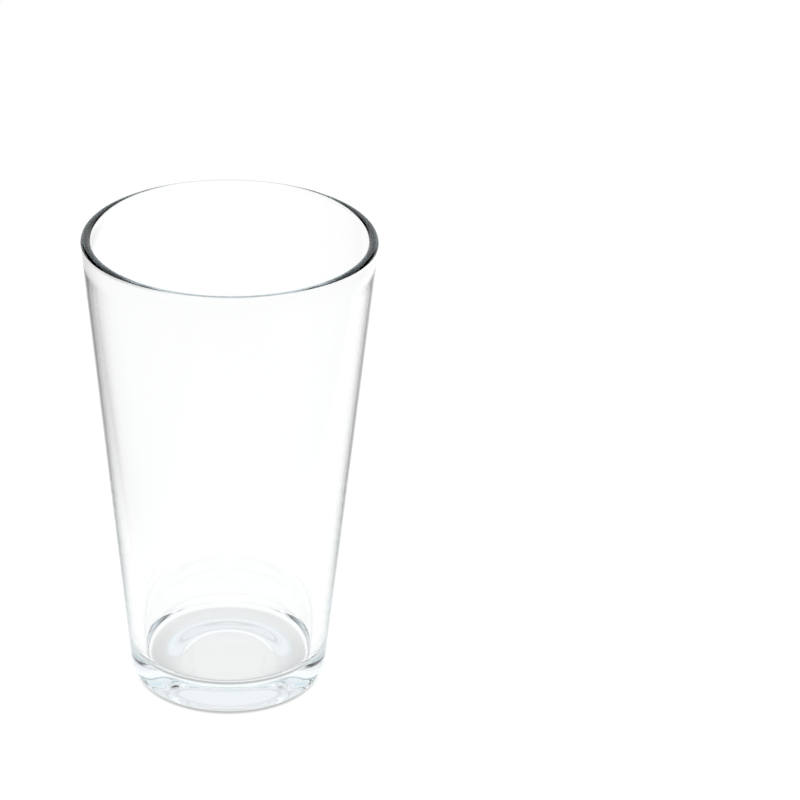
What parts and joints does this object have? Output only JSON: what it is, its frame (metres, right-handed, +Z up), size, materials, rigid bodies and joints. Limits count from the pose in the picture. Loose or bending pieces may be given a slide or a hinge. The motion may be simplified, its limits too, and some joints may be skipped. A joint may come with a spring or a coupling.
{
  "type": "mixing glass",
  "caption": "Clear tapered pint mixing glass with a rounded rim, straight conical wall, thick heavy base and a raised underside on a flat bearing ring.",
  "frame": {"origin": "on the table plane at the middle of the foot", "axes": "+Z up along the axis of the glass towards its mouth; round about Z, so X and Y are any two level directions"},
  "size_m": [0.0888, 0.0888, 0.1485],
  "materials": {
    "clear_glass": "fire-polished clear soda-lime glass, faint green-blue in thick sections"
  },
  "bodies": {
    "root": {"mixing_glass": "clear_glass"}
  },
  "joints": []
}
